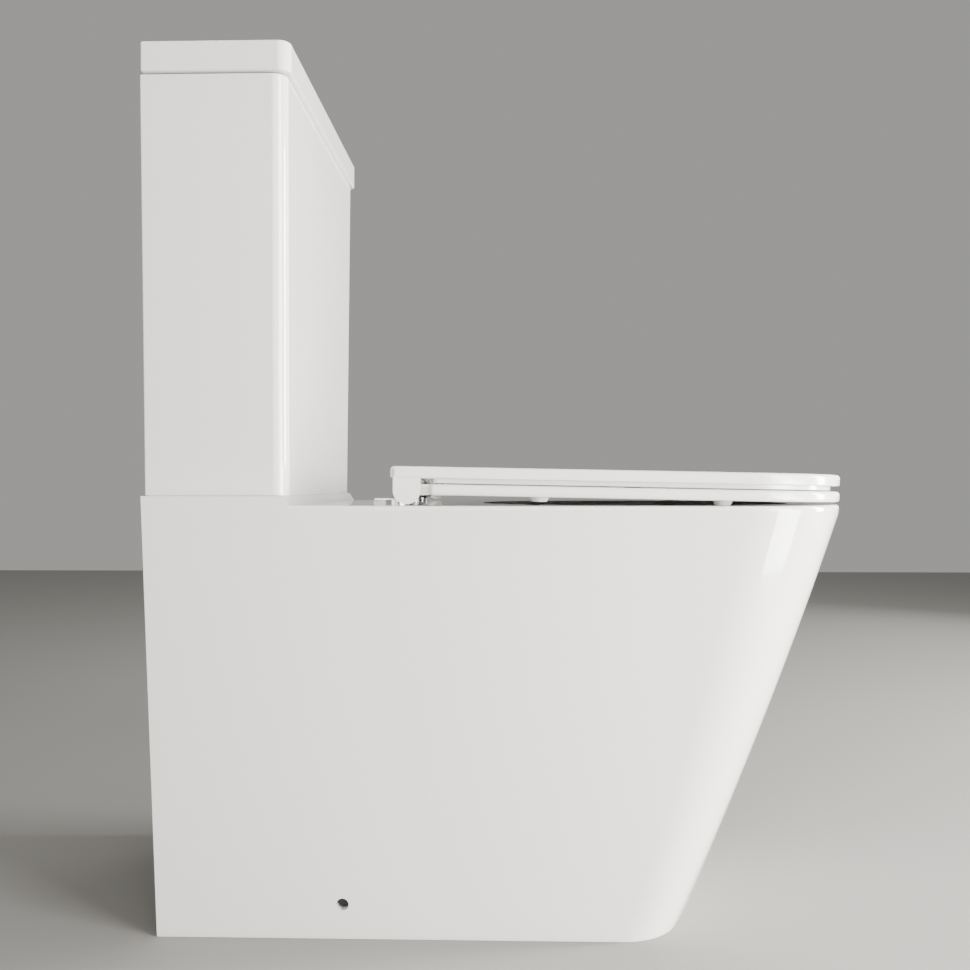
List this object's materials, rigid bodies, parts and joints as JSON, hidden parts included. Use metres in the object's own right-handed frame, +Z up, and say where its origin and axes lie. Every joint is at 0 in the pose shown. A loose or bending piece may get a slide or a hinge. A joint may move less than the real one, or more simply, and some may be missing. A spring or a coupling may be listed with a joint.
{
  "type": "close coupled toilet",
  "caption": "Close coupled floor-standing toilet with skirted pan, tapered cistern, soft-close seat and lid, and a dual flush button.",
  "frame": {"origin": "centre of the bounding box footprint, on the floor", "axes": "+Z up, -Y to the front of the pan, +Y to the wall, X across"},
  "size_m": [0.38, 0.6542, 0.8145],
  "materials": {
    "china": "glossy vitreous china",
    "seat_plastic": "glossy duroplast",
    "white_plastic": "moulded",
    "black_rubber": "matt",
    "red_silicone": "satin",
    "chromed": "polished",
    "steel": "zinc plated or stainless",
    "black_steel": "black coated",
    "damper_grey": "moulded",
    "blue_plastic": "translucent moulding",
    "orange_plastic": "moulded",
    "hose": "soft hose"
  },
  "bodies": {
    "fixed": {"pan": "china", "cistern": "china", "seat_bolt_nuts": "white_plastic", "flush_valve_backnut": "white_plastic", "flush_valve_base": "white_plastic", "fill_valve_body": "white_plastic", "fill_valve_backnut": "white_plastic", "seat_bolt_bushes": "black_rubber", "doughnut_washer": "black_rubber", "cistern_bolt_seals": "black_rubber", "flush_valve_seal": "black_rubber", "fill_valve_washer": "black_rubber", "hinge_discs": "chromed", "hinge_pins": "steel", "seat_bolts": "steel", "cistern_bolts": "steel", "cistern_bolt_washers": "steel", "cistern_wing_nuts": "steel", "floor_brackets": "black_steel", "side_screws": "black_steel", "hinge_blocks": "damper_grey", "flush_valve_tower": "blue_plastic", "fill_valve_cap": "blue_plastic", "refill_tube": "hose"},
    "seat": {"seat_ring": "seat_plastic", "seat_buffers": "white_plastic", "seat_damper": "damper_grey"},
    "lid": {"seat_lid": "seat_plastic", "lid_underpanel": "seat_plastic", "lid_buffers": "black_rubber", "lid_damper": "damper_grey"},
    "tank_lid": {"cistern_lid": "china", "lid_pads": "black_rubber", "button_bezel": "chromed", "button_housing": "white_plastic", "button_nut": "white_plastic"},
    "full_button": {"full_flush_button": "chromed", "full_flush_rod": "white_plastic", "full_flush_spring": "steel"},
    "half_button": {"half_flush_button": "chromed", "half_flush_rod": "white_plastic", "half_flush_spring": "steel"},
    "flush_plunger": {"overflow_tube": "white_plastic", "flush_seal": "red_silicone", "flush_float": "white_plastic"},
    "float": {"fill_valve_float": "white_plastic"},
    "lever": {"fill_valve_lever": "orange_plastic"}
  },
  "joints": [
    {"name": "seat_hinge", "type": "hinge", "parent": "fixed", "child": "seat", "pos_m": [0, 0.09, 0.4185], "axis": [-1, 0, 0], "range_deg": [0, 95]},
    {"name": "lid_hinge", "type": "hinge", "parent": "seat", "child": "lid", "pos_m": [0, 0.09, 0.4185], "axis": [1, 0, 0], "range_deg": [-98, 0]},
    {"name": "cistern_lid_lift", "type": "slide", "parent": "fixed", "child": "tank_lid", "axis": [0, 0, 1], "range_m": [0, 0.15]},
    {"name": "full_flush_press", "type": "slide", "parent": "tank_lid", "child": "full_button", "axis": [0, 0, -1], "range_m": [0, 0.008], "stiffness_N_per_m": 600, "springref_m": -0.004, "deforming": ["full_flush_spring"]},
    {"name": "half_flush_press", "type": "slide", "parent": "tank_lid", "child": "half_button", "axis": [0, 0, -1], "range_m": [0, 0.008], "stiffness_N_per_m": 600, "springref_m": -0.004, "deforming": ["half_flush_spring"]},
    {"name": "flush_valve_lift", "type": "slide", "parent": "fixed", "child": "flush_plunger", "axis": [0, 0, 1], "range_m": [0, 0.024]},
    {"name": "float_rise", "type": "slide", "parent": "fixed", "child": "float", "axis": [0, 0, 1], "range_m": [0, 0.01]},
    {"name": "fill_lever_tilt", "type": "hinge", "parent": "fixed", "child": "lever", "pos_m": [0.13, 0.261, 0.7335], "axis": [0, 1, 0], "range_deg": [0, 17]}
  ],
  "couplings": [
    {"joint": "flush_valve_lift", "follows": "full_flush_press", "ratio": 3},
    {"joint": "fill_lever_tilt", "follows": "float_rise", "rad_per_m": 27.8}
  ]
}
